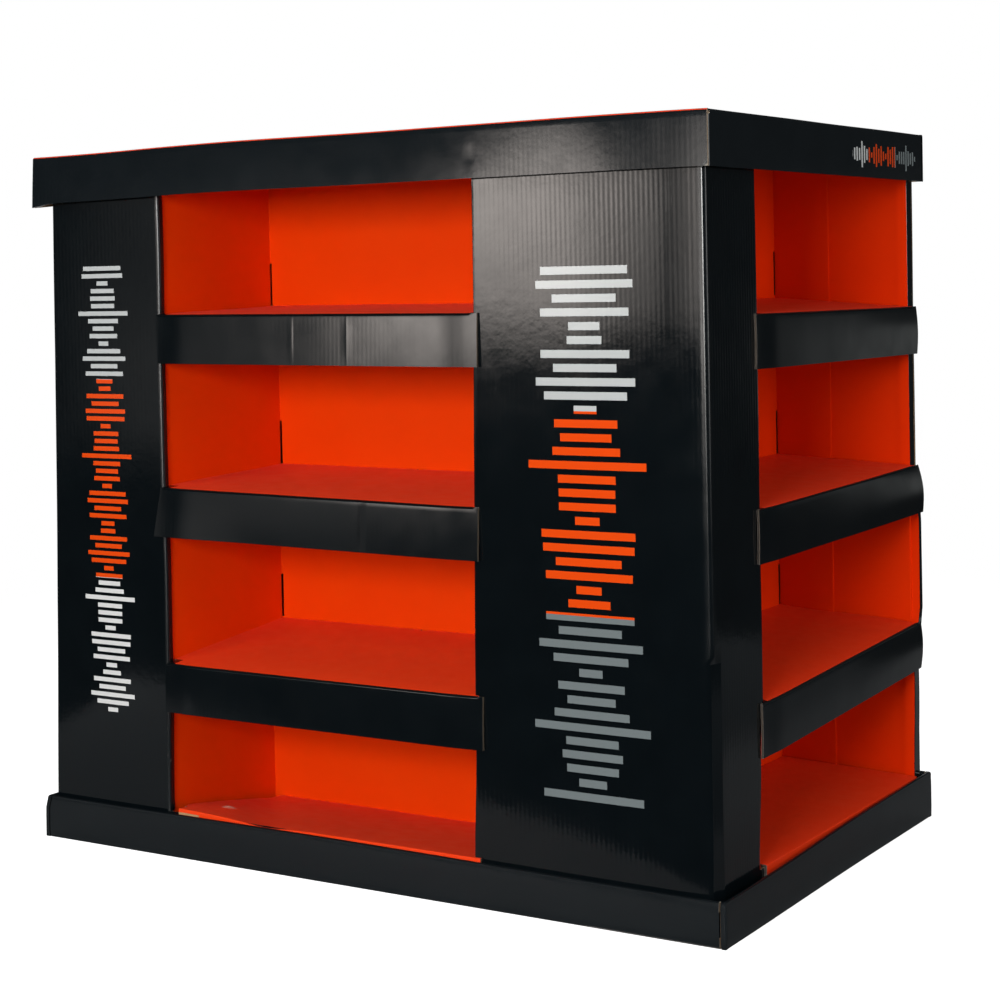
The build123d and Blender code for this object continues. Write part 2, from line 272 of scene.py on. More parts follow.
def sound_bars(tree, place, ground, along, stack, centre, half, start, end, pitch, colours):
    """A plain printed motif: bars along one axis that stack up on another, in fields of colour.

    It has the bars' centre and longest half, where the stack starts and ends, and its rows' pitch.
    """
    split = add(tree, "SeparateXYZ", {0: place})
    across, height = split.outputs[along], split.outputs[stack]
    row = add(tree, "Math", {0: height, 1: pitch * MM}, operation="SNAP").outputs[0]
    swells = []
    for rows in (SLOW_SWELL, FAST_SWELL):
        turns = 2 * math.pi / (rows * pitch * MM)
        phase = add(tree, "Math", {0: row, 1: turns}, operation="MULTIPLY").outputs[0]
        swells.append(add(tree, "Math", {0: phase}, operation="SINE").outputs[0])
    both = add(tree, "Math", {0: swells[0], 1: swells[1]}, operation="ADD").outputs[0]
    sizes = {1: -2.0, 2: 2.0, 3: SHORTEST * half * MM, 4: half * MM}
    reach = add(tree, "MapRange", {0: both, **sizes}).outputs[0]
    dash = add(tree, "Math", {0: across, 1: centre * MM, 2: reach}, operation="COMPARE")
    step = add(tree, "Math", {0: height, 1: pitch * MM}, operation="FLOORED_MODULO").outputs[0]
    line = add(tree, "Math", {0: step, 1: BAR * pitch * MM}, operation="LESS_THAN").outputs[0]
    extent = {0: height, 1: (start + end) / 2 * MM, 2: (end - start) / 2 * MM}
    field = add(tree, "Math", extent, operation="COMPARE").outputs[0]
    inked = add(tree, "Math", {0: dash.outputs[0], 1: line}, operation="MULTIPLY").outputs[0]
    mask = add(tree, "Math", {0: inked, 1: field}, operation="MULTIPLY").outputs[0]
    share = add(tree, "MapRange", {0: height, 1: start * MM, 2: end * MM}).outputs[0]
    ramp = add(tree, "ValToRGB", {0: share})
    ramp.color_ramp.interpolation = "CONSTANT"
    while len(ramp.color_ramp.elements) < len(colours):
        ramp.color_ramp.elements.new(0.5)
    for stop, (begin, code) in zip(ramp.color_ramp.elements, colours):
        stop.position = begin
        stop.color = linear(code)
    mix = add(tree, "Mix", {"Factor": mask, "A": ground, "B": ramp.outputs[0]}, data_type="RGBA")
    return mix.outputs["Result"]


def sleeve_art(tree, place, ground):
    """Motifs on the two front panels."""
    wide = ((0.0, "#6f7778"), (0.34, "#e2480c"), (0.72, "#b9bcbb"))
    narrow = ((0.0, "#d8d8d6"), (0.3, "#e2480c"), (0.74, "#b9bcbb"))
    right = sound_bars(tree, place, ground, "X", "Z", 340.0, 78.0, 144.0, 768.0, 16.0, wide)
    return sound_bars(tree, place, right, "X", "Z", -397.0, 44.0, 180.0, 780.0, 10.0, narrow)


def cap_art(tree, place, ground):
    """A small motif on the cap's right end."""
    split = add(tree, "SeparateXYZ", {0: place})
    colours = ((0.0, "#b9bcbb"), (0.24, "#c8400c"), (0.66, "#6f7778"))
    marked = sound_bars(tree, place, ground, "Z", "Y", 897.0, 17.0, 84.0, 300.0, 8.0, colours)
    edge = (CAP_X - BOARD * 2) * MM
    right = add(tree, "Math", {0: split.outputs["X"], 1: edge}, operation="GREATER_THAN").outputs[0]
    mix = add(tree, "Mix", {"Factor": right, "A": ground, "B": marked}, data_type="RGBA")
    return mix.outputs["Result"]


# Ways across the flutes: round upright walls, along X and along Y
WALLS, ALONG_X, ALONG_Y = (1.0, 1.0, 0.0), (1.0, 0.0, 0.0), (0.0, 1.0, 0.0)

# Black prints: depth of flutes and ripples in millimetres, then roughness
sleeve_black = black_print(
    "gloss_black_print_sleeve", WALLS, 0.022, 0.055, 0.07, sleeve_art, calm=0.25
)
# The rear walls, cap and tray take the paler black pair: painted light.
wall_black = black_print("gloss_black_print_walls", WALLS, 0.012, 0.03, 0.1, inks=PAINTED_LIGHT_BLACK)
cap_black = black_print("gloss_black_print_cap", ALONG_X, 0.012, 0.045, 0.1, cap_art, PAINTED_LIGHT_BLACK)
cross_black = black_print("gloss_black_print_front_to_back", ALONG_X, 0.005, 0.025, 0.12)
side_black = black_print("gloss_black_print_side_lips", ALONG_Y, 0.003, 0.02, 0.18)
tray_black = black_print("gloss_black_print_tray", ALONG_X, 0.003, 0.02, 0.2, inks=PAINTED_LIGHT_BLACK)

# Orange prints: share of dust and painted sheen, strength of the varnish's gloss and of the sheen,
# then inks
wall_orange = orange_print("satin_orange_print_walls", WALLS, 0.0, 0.02, 0.0)
# The side walls' inks are a redder, darker copy of the walls' orange: painted shade in the side
# bay, also on the sleeve's far return.
side_wall_orange = orange_print(
    "satin_orange_print_side_walls", WALLS, 0.0, 0.02, 0.0, ("#e63002", "#ea3703")
)
# The front shelves' and floor's inks are a brighter copy of the walls' orange: painted light on
# their tops.
front_orange = orange_print(
    "satin_orange_print_front_shelves", ALONG_X, 0.01, 0.2, 0.012, ("#f23802", "#f54004")
)
# The side shelves and floor take a darker, redder copy as well: painted shade.
side_orange = orange_print(
    "satin_orange_print_side_shelves", ALONG_Y, 0.015, 0.15, 0.006, ("#de2e02", "#e43504")
)

# Unprinted board: liner, hollow and fluted paper of its cut edges
kraft = kraft_liner("kraft_liner_back")
wall_edge = raw_edge("cut_board_edge_walls", WALLS, "#d9cdb8", "#5c4630", "#b59066")
# The shelves' and floors' cut edges are darker copies of the walls' cut edge: painted shade,
# darkest in the side bay.
front_edge = raw_edge("cut_board_edge_front_shelves", ALONG_X, "#7d7466", "#2e251b", "#65523b")
side_edge = raw_edge("cut_board_edge_side_shelves", ALONG_Y, "#67605a", "#28211a", "#51463a")

# Every piece has its materials in this order
PRINT, BACK, EDGE, SECOND = range(4)


# Sheets


def verts_of(made):
    """The vertices among an operator's results."""
    return [item for item in made["geom"] if isinstance(item, bmesh.types.BMVert)]


def swept(corners, sweep, bm=None):
    """A folded sheet with no thickness yet: a line through its corners, swept straight."""
    bm = bm or bmesh.new()
    line = [bm.verts.new(corner) for corner in corners]
    edges = [bm.edges.new(ends) for ends in zip(line, line[1:])]
    made = bmesh.ops.extrude_edge_only(bm, edges=edges)
    bmesh.ops.translate(bm, verts=verts_of(made), vec=sweep)
    return bm


def standing(plan):
    """A folded sheet that stands upright: its plan, swept from foot to top."""
    return swept([(x, y, SHEET_FOOT) for x, y in plan], (0, 0, SHEET_TOP - SHEET_FOOT))


def lying(profile, half, bm=None):
    """A folded sheet that lies along X: its profile in Y and Z, swept from end to end."""
    return swept([(-half, y, z) for y, z in profile], (2 * half, 0, 0), bm)


def pull(bm, edges, *moves):
    """Draws edges out into strips, one after the other."""
    for move in moves:
        made = bmesh.ops.extrude_edge_only(bm, edges=edges)
        moved = set(verts_of(made))
        bmesh.ops.translate(bm, verts=list(moved), vec=move)
        edges = [
            item
            for item in made["geom"]
            if isinstance(item, bmesh.types.BMEdge) and all(vert in moved for vert in item.verts)
        ]


def steps(start, end, cell=CELL):
    """Even places between two ends, no further apart than a cell."""
    count = max(1, math.ceil(abs(end - start) / cell))
    return [start + (end - start) * number / count for number in range(1, count)]


def cut(bm, axis, places):
    """Cuts the whole sheet across one axis at each place."""
    for place in places:
        normal = Vector((0, 0, 0))
        normal["XYZ".index(axis)] = 1.0
        whole, point = bm.verts[:] + bm.edges[:] + bm.faces[:], normal * place
        bmesh.ops.bisect_plane(bm, geom=whole, dist=SNUG / 10, plane_co=point, plane_no=normal)


def within(point, low, high):
    """Whether a point lies in a box."""
    return all(a - SNUG <= p <= b + SNUG for a, p, b in zip(low, point, high))


def remove(bm, low, high):
    """Takes out the faces whose middles lie in a box."""
    gone = [face for face in bm.faces if within(face.calc_center_median(), low, high)]
    bmesh.ops.delete(bm, geom=gone, context="FACES")


def open_edges(bm, low, high):
    """The sheet's free edges that lie in a box."""
    return [
        edge
        for edge in bm.edges
        if edge.is_boundary and all(within(vert.co, low, high) for vert in edge.verts)
    ]


def widen(bm, left, right):
    """Draws a shelf's or floor's ends out to its bay's walls behind the window's returns."""
    for end, wall in ((-HALF, left), (HALF, right)):
        for vert in bm.verts:
            if vert.co.y > NECK - SNUG and abs(vert.co.x - end) < SNUG:
                vert.co.x = wall


def soften(bm, radius, segments=3, low=LOW, high=HIGH, sharp=FOLDED):
    """Rounds the folds in a box."""
    bm.normal_update()
    folds = [
        edge
        for edge in bm.edges
        if len(edge.link_faces) == 2
        and edge.calc_face_angle() > sharp
        and all(within(vert.co, low, high) for vert in edge.verts)
    ]
    bmesh.ops.bevel(
        bm,
        geom=folds,
        offset=radius,
        offset_type="OFFSET",
        affect="EDGES",
        segments=segments,
        profile=0.5,
        material=-1,
        clamp_overlap=True,
    )


def warp(bm, shape):
    """Moves each vertex by the vector that a function gives for its place."""
    for vert in bm.verts:
        vert.co += Vector(shape(vert.co))


def undulate(bm, height, size, seed):
    """Slow waves of a large sheet that was folded and carried by hand."""
    bm.normal_update()
    shift = Vector((seed * 7.3, seed * 3.1, seed * 5.7))
    for vert in bm.verts:
        vert.co += vert.normal * height * noise.noise(vert.co / size + shift)


def share_of(value, start, end):
    """0 before start, 1 after end, and even between."""
    return min(1.0, max(0.0, (value - start) / (end - start)))


def ease(value, start, end):
    """0 before start, 1 after end, and smooth between."""
    share = share_of(value, start, end)
    return share * share * (3 - 2 * share)


def hump(value, centre, width):
    """1 at the centre, falling smoothly to 0 a width away."""
    return math.exp(-(((value - centre) / width) ** 2) * 2.5)


def thicken(bm):
    """Gives the sheet its board: print outside, plain liner behind, raw cut edges between."""
    printed = set(bm.faces)
    depth = bm.verts.layers.float.new("board_depth")
    made = bmesh.ops.solidify(bm, geom=list(printed), thickness=BOARD)["geom"]
    backs = {item for item in made if isinstance(item, bmesh.types.BMFace)}
    for face in bm.faces:
        if face in backs:
            face.material_index = BACK
            for vert in face.verts:
                vert[depth] = 1.0
        elif face not in printed:
            face.material_index = EDGE


def wear_folds(bm, amount, low=LOW, high=HIGH, sharp=BENT):
    """Marks the folds in a box where the print has cracked."""
    bm.normal_update()
    wear = bm.verts.layers.float.get("wear") or bm.verts.layers.float.new("wear")
    for edge in bm.edges:
        if len(edge.link_faces) == 2 and edge.calc_face_angle() > sharp:
            for vert in edge.verts:
                if within(vert.co, low, high):
                    vert[wear] = max(vert[wear], amount)


LEAN_START = 300.0  # left of the middle, where the left end starts to lean


def settle(co):
    """How the whole stand sits: its left end leans in towards the top, which sags to the left."""
    foot_out, lean_in, left_sag, right_rise = 5.0, 9.5, 4.8, 2.0
    left = ease(-co.x, LEAN_START, SLEEVE_X)
    high = ease(co.z, 650.0, 900.0)
    sag = -left_sag * ease(-co.x, 150.0, SLEEVE_X) + right_rise * ease(co.x, 0.0, 400.0)
    return (left * (-foot_out + lean_in * co.z / CAP_TOP), 0, high * sag)


def finish(name, bm, node, materials):
    """Settles a sheet, turns it to metres and makes it the piece that stands for a node."""
    warp(bm, settle)
    bmesh.ops.scale(bm, vec=(MM, MM, MM), verts=bm.verts)
    mesh = bpy.data.meshes.new(name)
    bm.to_mesh(mesh)
    bm.free()
    for material in materials:
        mesh.materials.append(material)
    mesh.shade_smooth()
    mesh.set_sharp_from_angle(angle=math.radians(40))
    piece = bpy.data.objects.new(name, mesh)
    bpy.context.scene.collection.objects.link(piece)
    flat = piece.modifiers.new("flat_panels", "WEIGHTED_NORMAL")
    flat.keep_sharp = True
    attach(piece, "root")
    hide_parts(node)


# Sleeve: how far its front panels bow, and how far its far post and far corner stand out or in

RIGHT_BOW, LEFT_BOW = 2.5, 1.5
BULGE_FOOT, BULGE_TOP, BULGE_RUN = 248.0, 452.0, 28.0
BULGE_OUT, BULGE_BACK, LOW_OUT = 8.5, 7.0, 2.0
CORNER_BACK, CORNER_IN = 5.0, 1.7


def lean(co):
    """How the sleeve's left side stands out at its foot and leans in towards the cap."""
    foot_out, lean_in, belly = 2.6, 11.7, 2.4
    left = ease(-co.x, LEAN_START, SLEEVE_X)
    rise = (co.z - WINDOW_FOOT) / (CAP_FOOT - WINDOW_FOOT)
    bow = belly * math.sin(math.pi * share_of(co.z, WINDOW_FOOT, CAP_FOOT))
    return left * (-foot_out + lean_in * rise + bow)


def left_edge(z):
    """How the front window's left edge wanders with height."""
    foot, low, high = -3.3, 1.3, 2.0
    wander = low * hump(z, 370.0, 120.0) + high * hump(z, 800.0, 160.0)
    return foot * (1 - ease(z, 40.0, 250.0)) + wander


def right_edge(z):
    """How the front window's right edge leans with height."""
    foot, rise, toe = -7.0, 11.0, -4.0
    return foot + rise * ease(z, 60.0, 870.0) + toe * (1 - ease(z, 50.0, 190.0))


def near_edge(z):
    """How the side window's near edge wanders: back above the bottom shelf, forward below it."""
    set_back, forward, eased = 6.0, 11.0, 9.0
    above = ease(z, 205.0, 250.0)
    return set_back * above - (1 - above) * (forward - eased * ease(z, 60.0, 185.0))


def far_bulge(z):
    """1 between the middle and bottom side shelves, where the far post bulges, and 0 elsewhere."""
    above = ease(z, BULGE_TOP - BULGE_RUN, BULGE_TOP)
    return ease(z, BULGE_FOOT, BULGE_FOOT + BULGE_RUN) * (1 - above)


def turned_in(x, corner):
    """How a front panel curves back as it nears the near corner."""
    return BEND_DEPTH * (max(0.0, x - corner + BEND) / BEND) ** 2


def far_corner(co):
    """How far the sleeve's far right corner stands out to the back."""
    return CORNER_BACK * ease(co.x, 400.0, 490.0) * ease(co.y, SIDE_FAR + 2, SLEEVE_Y - BOARD)


def far_turn(co):
    """How far the far right corner stands in, which turns the far post's face to the back."""
    return -CORNER_IN * share_of(co.y, SIDE_FAR, SLEEVE_Y - BOARD) * ease(co.x, 470.0, 490.0)


def rear_shape(co):
    """How the rear sheet has settled."""
    return (lean(co) + far_turn(co), far_corner(co), 0)


def front_shape(co):
    """How the front sheet has settled: its left side leans, its panels bow, its windows wander."""
    x, y = lean(co), 0.0
    if co.y < -SLEEVE_Y + RETURN + 1:
        right = ease(co.x, FRONT_RIGHT - 20, FRONT_RIGHT - 5) * (1 - ease(co.x, 230.0, 430.0))
        left = ease(co.x, -470.0, FRONT_LEFT) * (1 - ease(co.x, -200.0, -100.0))
        x += right * right_edge(co.z) + left * left_edge(co.z)
        y -= RIGHT_BOW * hump(co.x, 350.0, 150.0) * hump(co.z, 560.0, 330.0)
        y -= LEFT_BOW * hump(co.x, -400.0, 90.0) * hump(co.z, 350.0, 250.0)
    if co.x > SLEEVE_X - RETURN - 1:
        near = ease(co.y, -260.0, SIDE_NEAR) * (1 - ease(co.y, -150.0, -60.0))
        far = ease(co.y, 270.0, SIDE_FAR) * (1 - ease(co.y, SIDE_FAR + 2, SLEEVE_Y - BOARD))
        y += near * near_edge(co.z) + BULGE_BACK * far_bulge(co.z) * far
        low = ease(co.z, 60.0, 180.0) * (1 - ease(co.z, 200.0, 250.0))
        x += (BULGE_OUT * far_bulge(co.z) + LOW_OUT * low) * ease(co.y, 250.0, 290.0)
    x += far_turn(co)
    y += far_corner(co)
    y += turned_in(co.x, SLEEVE_X) * (1 - ease(co.y, -SLEEVE_Y, -SLEEVE_Y + 30))
    return (x, y, 0)


def crushed_corner(co):
    """Below the bottom shelf the near corner is pressed in, which leaves a facet on the side."""
    low = 1 - ease(co.z, FACET_TOP - FACET_RUN, FACET_TOP)
    near = max(0.0, 1 - (co.y + SLEEVE_Y) / FACET) * ease(co.x, SLEEVE_X - 30, SLEEVE_X - 3)
    return (-CRUSH * low * near, 0, 0)


sleeve_front = standing(
    [
        (SLEEVE_X - GLUE_FLAP, SLEEVE_Y - BOARD),
        (SLEEVE_X, SLEEVE_Y - BOARD),
        (SLEEVE_X, -SLEEVE_Y + NEAR_CUT),
        (SLEEVE_X - NEAR_CUT, -SLEEVE_Y),
        (-SLEEVE_X, -SLEEVE_Y),
    ]
)
cut(sleeve_front, "Z", [WINDOW_FOOT, *steps(WINDOW_FOOT, WINDOW_TOP), WINDOW_TOP])
cut(sleeve_front, "X", [*steps(-SLEEVE_X, FRONT_LEFT), FRONT_LEFT])
cut(sleeve_front, "X", [FRONT_RIGHT, *steps(FRONT_RIGHT, SLEEVE_X)])
cut(sleeve_front, "X", [FRONT_LEFT - MARGIN, FRONT_RIGHT + MARGIN, SLEEVE_X - 2 * MARGIN])
cut(sleeve_front, "Y", [*steps(-SLEEVE_Y, SIDE_NEAR), SIDE_NEAR, SIDE_FAR])
cut(sleeve_front, "Y", [-SLEEVE_Y + 2 * MARGIN, -SLEEVE_Y + FACET])
cut(sleeve_front, "Y", [SIDE_NEAR - MARGIN, SIDE_FAR + MARGIN])
cut(sleeve_front, "X", steps(SLEEVE_X - BEND, SLEEVE_X - 2 * MARGIN, FINE))
cut(sleeve_front, "Z", [FACET_TOP - FACET_RUN, FACET_TOP])
front_window = ((FRONT_LEFT, -SLEEVE_Y, WINDOW_FOOT), (FRONT_RIGHT, -SLEEVE_Y, WINDOW_TOP))
side_window = ((SLEEVE_X, SIDE_NEAR, WINDOW_FOOT), (SLEEVE_X, SIDE_FAR, WINDOW_TOP))
for low, high in (front_window, side_window):
    remove(sleeve_front, low, high)
for edge_x, strip in ((FRONT_LEFT, LEFT_RETURN), (FRONT_RIGHT, RETURN)):
    low, high = (edge_x, -SLEEVE_Y, WINDOW_FOOT), (edge_x, -SLEEVE_Y, WINDOW_TOP)
    pull(sleeve_front, open_edges(sleeve_front, low, high), (0, strip, 0))
for edge_y in (SIDE_NEAR, SIDE_FAR):
    low, high = (SLEEVE_X, edge_y, WINDOW_FOOT), (SLEEVE_X, edge_y, WINDOW_TOP)
    pull(sleeve_front, open_edges(sleeve_front, low, high), (-RETURN, 0, 0))
for edge_x, radius, segments in ((FRONT_RIGHT, 1.0, 2), (FRONT_LEFT, LEFT_FOLD, 4)):
    low, high = (edge_x - 1, -SLEEVE_Y - 1, SHEET_FOOT), (edge_x + 1, -SLEEVE_Y + 1, SHEET_TOP)
    soften(sleeve_front, radius, segments, low, high, SQUARE)
soften(sleeve_front, FOLD, sharp=SQUARE)
low = (SLEEVE_X - 2 * MARGIN, -SLEEVE_Y - 1, SHEET_FOOT)
high = (SLEEVE_X + 1, -SLEEVE_Y + 2 * MARGIN, SHEET_TOP)
soften(sleeve_front, NEAR_FOLD, 3, low, high, MITRE)
low, high = (SLEEVE_X - 25, SIDE_FAR - 10, WINDOW_FOOT), (SLEEVE_X - 1, SIDE_FAR + 5, WINDOW_TOP)
for face in sleeve_front.faces:
    if face.normal.y < -0.5 and within(face.calc_center_median(), low, high):
        face.material_index = SECOND
low = (FRONT_LEFT - MARGIN, -SLEEVE_Y - MARGIN, WINDOW_FOOT)
high = (FRONT_LEFT + 2, -SLEEVE_Y + MARGIN, WINDOW_TOP)
wear_folds(sleeve_front, WORN, low, high, SLIGHT)
low = (SLEEVE_X - 9, -SLEEVE_Y - 2, FACET_TOP)
high = (SLEEVE_X + 1, -SLEEVE_Y + RETURN, SHEET_TOP)
wear_folds(sleeve_front, RUBBED, low, high, SLIGHT)
warp(sleeve_front, crushed_corner)
warp(sleeve_front, front_shape)
undulate(sleeve_front, height=0.6, size=150.0, seed=1)
thicken(sleeve_front)
sleeve_looks = (sleeve_black, kraft, wall_edge, side_wall_orange)
finish("sleeve_front_board", sleeve_front, "sleeve_front", sleeve_looks)

sleeve_rear = standing(
    [
        (SLEEVE_X, SLEEVE_Y),
        (-SLEEVE_X, SLEEVE_Y),
        (-SLEEVE_X, -SLEEVE_Y + BOARD),
        (-SLEEVE_X + GLUE_FLAP, -SLEEVE_Y + BOARD),
    ]
)
bmesh.ops.reverse_faces(sleeve_rear, faces=sleeve_rear.faces)
cut(sleeve_rear, "Z", steps(SHEET_FOOT, SHEET_TOP))
cut(sleeve_rear, "X", steps(-SLEEVE_X, SLEEVE_X))
cut(sleeve_rear, "Y", steps(-SLEEVE_Y, SLEEVE_Y))
soften(sleeve_rear, FOLD)
wear_folds(sleeve_rear, WORN)
warp(sleeve_rear, rear_shape)
undulate(sleeve_rear, height=1.2, size=160.0, seed=2)
thicken(sleeve_rear)
sleeve_rear.normal_update()
for face in sleeve_rear.faces:
    if face.material_index == EDGE and face.normal.x > 0.7:
        face.material_index = PRINT
rear_looks = (wall_black, kraft, wall_edge)
finish("sleeve_rear_board", sleeve_rear, "sleeve_rear", rear_looks)


# Bays: how the front one's back left corner wanders from tier to tier, and its foot comes forward

CORNER_TOP = -4.5
CORNER_STEPS = ((11.0, 640.0, 720.0), (-4.0, 400.0, 500.0), (-12.0, 190.0, 280.0))
BACK_FORWARD = 10.0


def front_liner_shape(co):
    """The front bay's left wall follows its window edge, and its back corner wanders."""
    back = ease(co.y, 0.0, FRONT_DEPTH)
    left = 1 - ease(co.x, LEFT_WALL, LEFT_WALL + 120)
    corner = CORNER_TOP
    for shift, foot, top in CORNER_STEPS:
        corner += shift * (1 - ease(co.z, foot, top))
    forward = -BACK_FORWARD * (1 - ease(co.z, 120.0, 280.0)) * back
    return (left * ((1 - back) * left_edge(co.z) + back * corner), forward, 0)


def liner(name, bay, depth, right, last, node, seed, ink, edge, shape=None):
    """A bay's orange sheet: walls and back, with slits in its back corners above each shelf."""
    left_side = [(LEFT_WALL, depth), (LEFT_WALL, BOARD), (LEFT_WALL - FLANGE, BOARD)]
    bm = standing([*last, (right, depth), *left_side])
    cut(bm, "Z", steps(SHEET_FOOT, SHEET_TOP))
    cut(bm, "X", steps(LEFT_WALL, right))
    cut(bm, "Y", steps(BOARD, depth))
    slit_feet = [level + RISES[tier] + SLIT_LIFT for tier, level in LEVELS.items()]
    for foot in slit_feet:
        cut(bm, "Z", [foot, foot + SLIT_HEIGHT])
    cut(bm, "X", [LEFT_WALL + SLIT_WIDTH, right - SLIT_WIDTH])
    soften(bm, WALL_FOLD, 2)
    for foot in slit_feet:
        for start in (LEFT_WALL, right - SLIT_WIDTH):
            low = (start, depth - 1, foot)
            remove(bm, low, (start + SLIT_WIDTH, depth + 1, foot + SLIT_HEIGHT))
    if shape:
        warp(bm, shape)
    undulate(bm, height=0.8, size=130.0, seed=seed)
    bmesh.ops.transform(bm, matrix=bay, verts=bm.verts)
    thicken(bm)
    finish(name, bm, node, (ink, kraft, edge))


liner(
    "front_bay_walls",
    FRONT_BAY,
    FRONT_DEPTH,
    FRONT_RIGHT_WALL,
    [(FRONT_RIGHT_WALL + FLANGE, BOARD), (FRONT_RIGHT_WALL, BOARD)],
    "front_bay_liner",
    seed=3,
    ink=wall_orange,
    edge=wall_edge,
    shape=front_liner_shape,
)
liner(
    "side_bay_walls",
    SIDE_BAY,
    SIDE_DEPTH,
    SIDE_RIGHT_WALL,
    [(SIDE_RIGHT_WALL, FAR_SEAM)],
    "side_bay_liner",
    seed=4,
    ink=side_wall_orange,
    edge=side_wall_orange,
)

far_x = SIDE_RIGHT_WALL + BOARD
far_wall = standing([(far_x + FAR_FLANGE, BOARD), (far_x, BOARD), (far_x, FAR_SEAM + FAR_LAP)])
cut(far_wall, "Z", steps(SHEET_FOOT, SHEET_TOP))
cut(far_wall, "Y", steps(BOARD, FAR_SEAM + FAR_LAP))
soften(far_wall, WALL_FOLD, 2)
bmesh.ops.transform(far_wall, matrix=SIDE_BAY, verts=far_wall.verts)
thicken(far_wall)
far_looks = (side_wall_orange, kraft, wall_edge)
finish("side_bay_far_panel", far_wall, "side_bay_far_wall", far_looks)


# Shelves: each lip was folded by hand, so its two ends sit differently


def shelf(name, bay, depth, right, tier, node, ends, twist, creases, materials, seed):
    """A shelf panel that falls to the front, with its lip, its flanges and a finger notch."""
    level, back = LEVELS[tier], LEVELS[tier] + RISES[tier]
    lip = [(-LIP_OUT, level - LIP), (-LIP_OUT, level)]
    bm = lying([*lip, (depth, back), (depth, back - FLANGE)], HALF)
    cut(bm, "X", [*steps(-HALF, HALF, CELL / 2), -NOTCH, NOTCH])
    for place, _, width in creases:
        cut(bm, "X", [place - width, place, place + width])
    cut(bm, "Y", [NECK - 1, NECK, *steps(NECK, depth), depth - NOTCH])
    cut(bm, "Z", steps(level - LIP, level, CELL / 3))
    walls = (LEFT_WALL + SHELF_GAP, right - SHELF_GAP)
    widen(bm, *walls)
    for wall in walls:
        pull(bm, open_edges(bm, (wall, NECK, level), (wall, depth, back + 1)), (0, 0, -FLANGE))
    remove(bm, (-NOTCH, depth - NOTCH, level), (NOTCH, depth + 1, back + 1))
    left_lift, left_foot, left_bulge, left_reach, left_hug, left_slant = ends[0]
    right_lift, right_foot, right_bulge, right_reach, right_hug, right_slant = ends[1]
    for end, reach in ((-HALF, -left_reach), (HALF, right_reach)):
        ear = open_edges(bm, (end, -LIP_OUT, level - LIP), (end, -LIP_OUT, level))
        pull(bm, ear, (reach, 0, 0))
    soften(bm, FOLD, 4, (-WINDOW, -LIP_OUT - 1, level - 1), (WINDOW, 0, level + 1))
    soften(bm, 1.0, 2, (-WINDOW, depth - 1, level), (WINDOW, depth + 1, back + 1))
    for face in bm.faces:
        middle = face.calc_center_median()
        black = middle.y < (NECK if middle.x < -HALF + CELL / 2 else -LIP_OUT + LIP_INK)
        face.material_index = PRINT if black else SECOND
    wear_folds(bm, WORN, (-WINDOW, -LIP_OUT - 1, level - 2), (WINDOW, -LIP_OUT + 2, level + 2))

    def sit(co):
        """Lift of the two ends, and the lean, bulge and creases of the lip."""
        share = (co.x + HALF) / (2 * HALF)
        front = 1 - ease(co.y, 0.0, depth)
        lift = left_lift * (1 - share) + right_lift * share
        lift *= BACK_LIFT + (1 - BACK_LIFT) * front
        out = along = 0.0
        if co.y < 0:
            drop = min(1.0, max(0.0, (level - co.z) / LIP))
            out += (left_foot + (right_foot - left_foot) * ease(co.x, -HALF, -HALF + twist)) * drop
            bulge = left_bulge + (right_bulge - left_bulge) * ease(co.x, HALF - 260, HALF)
            out += bulge * math.sin(math.pi * drop)
            out -= (left_hug if co.x < 0 else right_hug) * ease(abs(co.x), HALF - 45, HALF + 3)
            left, right_end = ease(-co.x, HALF - 1, HALF + 3), ease(co.x, HALF - 1, HALF + 3)
            along = (right_slant * right_end - left_slant * left) * drop
            for place, height, width in creases:
                out += height * hump(co.x, place, width) * math.sin(math.pi * drop)
        return (along, -out, lift)

    warp(bm, sit)
    undulate(bm, height=0.3, size=90.0, seed=seed)
    bmesh.ops.transform(bm, matrix=bay, verts=bm.verts)
    thicken(bm)
    finish(name, bm, node, materials)


front_looks = (cross_black, kraft, front_edge, front_orange)
side_looks = (side_black, kraft, side_edge, side_orange)
SHELVES = (
    # bay and tier; lift, foot, bulge, reach, hug and slant of each end; then its creases
    (
        "front",
        "top",
        ((6.0, 2.5, 0.0, 5.0, 2.6, -3.0), (4.0, 2.2, 0.2, 11.0, 2.6, 0.0)),
        ((64.0, 0.3, 3.0), (-21.0, 0.25, 3.0)),
    ),
    (
        "front",
        "middle",
        ((6.0, 7.0, 0.2, 3.5, 2.6, 8.0), (0.0, 3.5, 0.2, 7.0, 2.6, 0.0)),
        ((80.0, -0.5, 6.0),),
    ),
    ("front", "bottom", ((1.0, 2.0, 0.3, 3.0, 2.6, 0.0), (0.0, 2.0, 0.3, 8.0, 2.6, 0.0)), ()),
    ("side", "top", ((-3.0, 0.3, 0.5, 4.0, 2.6, 0.0), (-6.0, 1.0, 2.0, 15.0, 0.0, 0.0)), ()),
    ("side", "middle", ((-3.5, 0.0, 0.5, 5.0, 2.6, 0.0), (5.0, 6.5, 4.0, 14.0, 0.0, 0.0)), ()),
    ("side", "bottom", ((-3.5, 0.0, 0.5, 4.0, 2.6, 0.0), (17.0, 0.0, 3.0, 16.0, 0.0, 0.0)), ()),
)
for number, (bay_name, tier, ends, creases) in enumerate(SHELVES):
    in_front = bay_name == "front"
    shelf(
        f"{bay_name}_{tier}_shelf_board",
        FRONT_BAY if in_front else SIDE_BAY,
        FRONT_DEPTH if in_front else SIDE_DEPTH,
        FRONT_RIGHT_WALL if in_front else SIDE_RIGHT_WALL,
        tier,
        f"{bay_name}_shelf_{tier}",
        ends,
        LIP_TWIST if in_front else WINDOW,
        creases,
        front_looks if in_front else side_looks,
        5 + number,
    )


